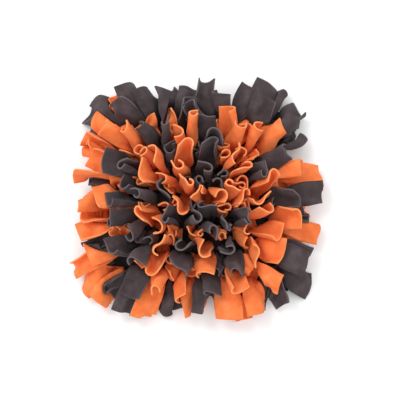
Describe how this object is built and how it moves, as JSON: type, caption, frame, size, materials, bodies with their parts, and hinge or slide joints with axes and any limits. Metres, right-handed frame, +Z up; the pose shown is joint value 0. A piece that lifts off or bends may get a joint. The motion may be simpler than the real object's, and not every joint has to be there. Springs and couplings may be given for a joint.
{
  "type": "snuffle mat",
  "caption": "Square snuffle mat: a flat felt base covered with fleece strips knotted through it, their tails standing in the middle and splaying out past the edges",
  "frame": {"origin": "Middle of the underside of the base, on the floor", "axes": "+Z up; +X to the right and +Y to the back as the mat is seen from its front edge"},
  "size_m": [0.3455, 0.3373, 0.0835],
  "materials": {
    "base_felt": "matte dark felt",
    "charcoal_fleece": "matte fleece",
    "orange_fleece": "matte fleece"
  },
  "bodies": {
    "root": {"base_mat": "base_felt", "strip_r1_c1": "orange_fleece", "strip_r1_c2": "charcoal_fleece", "strip_r1_c3": "orange_fleece", "strip_r1_c4": "orange_fleece", "strip_r1_c5": "charcoal_fleece", "strip_r1_c6": "orange_fleece", "strip_r1_c7": "orange_fleece", "strip_r1_c8": "charcoal_fleece", "strip_r2_c1": "orange_fleece", "strip_r2_c2": "charcoal_fleece", "strip_r2_c3": "orange_fleece", "strip_r2_c4": "charcoal_fleece", "strip_r2_c5": "orange_fleece", "strip_r2_c6": "charcoal_fleece", "strip_r2_c7": "orange_fleece", "strip_r2_c8": "charcoal_fleece", "strip_r3_c1": "orange_fleece", "strip_r3_c2": "charcoal_fleece", "strip_r3_c3": "orange_fleece", "strip_r3_c4": "charcoal_fleece", "strip_r3_c5": "charcoal_fleece", "strip_r3_c6": "charcoal_fleece", "strip_r3_c7": "orange_fleece", "strip_r3_c8": "orange_fleece", "strip_r4_c1": "orange_fleece", "strip_r4_c2": "charcoal_fleece", "strip_r4_c3": "charcoal_fleece", "strip_r4_c4": "orange_fleece", "strip_r4_c5": "orange_fleece", "strip_r4_c6": "orange_fleece", "strip_r4_c7": "orange_fleece", "strip_r4_c8": "charcoal_fleece", "strip_r5_c1": "orange_fleece", "strip_r5_c2": "charcoal_fleece", "strip_r5_c3": "orange_fleece", "strip_r5_c4": "orange_fleece", "strip_r5_c5": "charcoal_fleece", "strip_r5_c6": "orange_fleece", "strip_r5_c7": "charcoal_fleece", "strip_r5_c8": "orange_fleece", "strip_r6_c1": "orange_fleece", "strip_r6_c2": "orange_fleece", "strip_r6_c3": "charcoal_fleece", "strip_r6_c4": "orange_fleece", "strip_r6_c5": "charcoal_fleece", "strip_r6_c6": "orange_fleece", "strip_r6_c7": "orange_fleece", "strip_r6_c8": "charcoal_fleece", "strip_r7_c1": "charcoal_fleece", "strip_r7_c2": "charcoal_fleece", "strip_r7_c3": "charcoal_fleece", "strip_r7_c4": "charcoal_fleece", "strip_r7_c5": "charcoal_fleece", "strip_r7_c6": "charcoal_fleece", "strip_r7_c7": "charcoal_fleece", "strip_r7_c8": "charcoal_fleece"}
  },
  "joints": []
}
